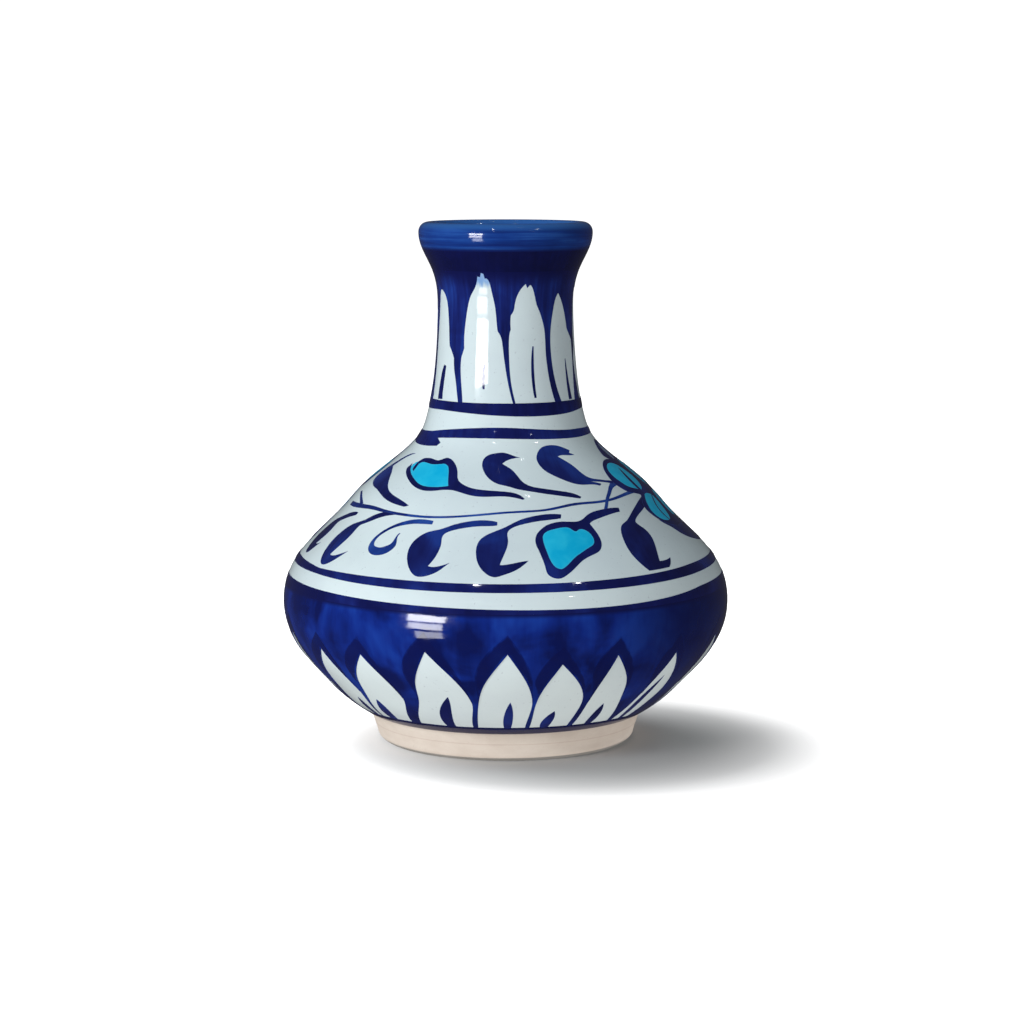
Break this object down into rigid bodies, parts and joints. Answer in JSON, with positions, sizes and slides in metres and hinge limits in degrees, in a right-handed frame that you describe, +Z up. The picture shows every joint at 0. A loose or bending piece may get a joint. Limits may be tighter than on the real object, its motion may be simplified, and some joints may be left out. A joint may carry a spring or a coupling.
{
  "type": "pottery vase",
  "caption": "Squat round-bellied pottery vase with a narrow flared neck, thick rolled rim, bare turned foot and hand-painted blue leaf and petal bands.",
  "frame": {"origin": "centre of the foot's resting face, on the vase's axis", "axes": "+Z up along the vase's axis, out of the mouth; -Y towards the side shown first, +X to its right"},
  "size_m": [0.1295, 0.1295, 0.15],
  "materials": {
    "fired_clay": "matte, bare earthenware",
    "fired_slip": "matte",
    "lining_glaze": "gloss",
    "white_glaze": "high gloss",
    "cobalt": "high gloss, streaky brushwork",
    "dark_cobalt": "high gloss",
    "turquoise": "high gloss, uneven wash",
    "grey_blue": "high gloss, thin wash"
  },
  "bodies": {
    "root": {"clay_foot_ring": "fired_clay", "foot_luting_slip": "fired_slip", "clay_bowl": "fired_clay", "belly_luting_slip": "fired_slip", "clay_shoulder": "fired_clay", "neck_luting_slip": "fired_slip", "clay_neck": "fired_clay", "lining_glaze": "lining_glaze", "white_glaze": "white_glaze", "rim_band": "cobalt", "neck_dark_band": "dark_cobalt", "neck_blue_drips": "cobalt", "neck_petal_tints": "grey_blue", "neck_petal_veins": "dark_cobalt", "neck_base_line": "dark_cobalt", "neck_ring_line": "dark_cobalt", "vine_stems": "dark_cobalt", "upper_leaves": "dark_cobalt", "lower_leaves": "dark_cobalt", "curl_strokes": "dark_cobalt", "bud_outlines": "dark_cobalt", "bud_washes": "turquoise", "flower_outlines": "dark_cobalt", "flower_washes": "turquoise", "flower_crowns": "grey_blue", "flower_skirts": "dark_cobalt", "shoulder_line": "dark_cobalt", "belly_border": "dark_cobalt", "belly_blue_ground": "cobalt", "foot_petal_borders": "dark_cobalt", "foot_petal_veins": "dark_cobalt", "foot_line": "dark_cobalt"}
  },
  "joints": []
}
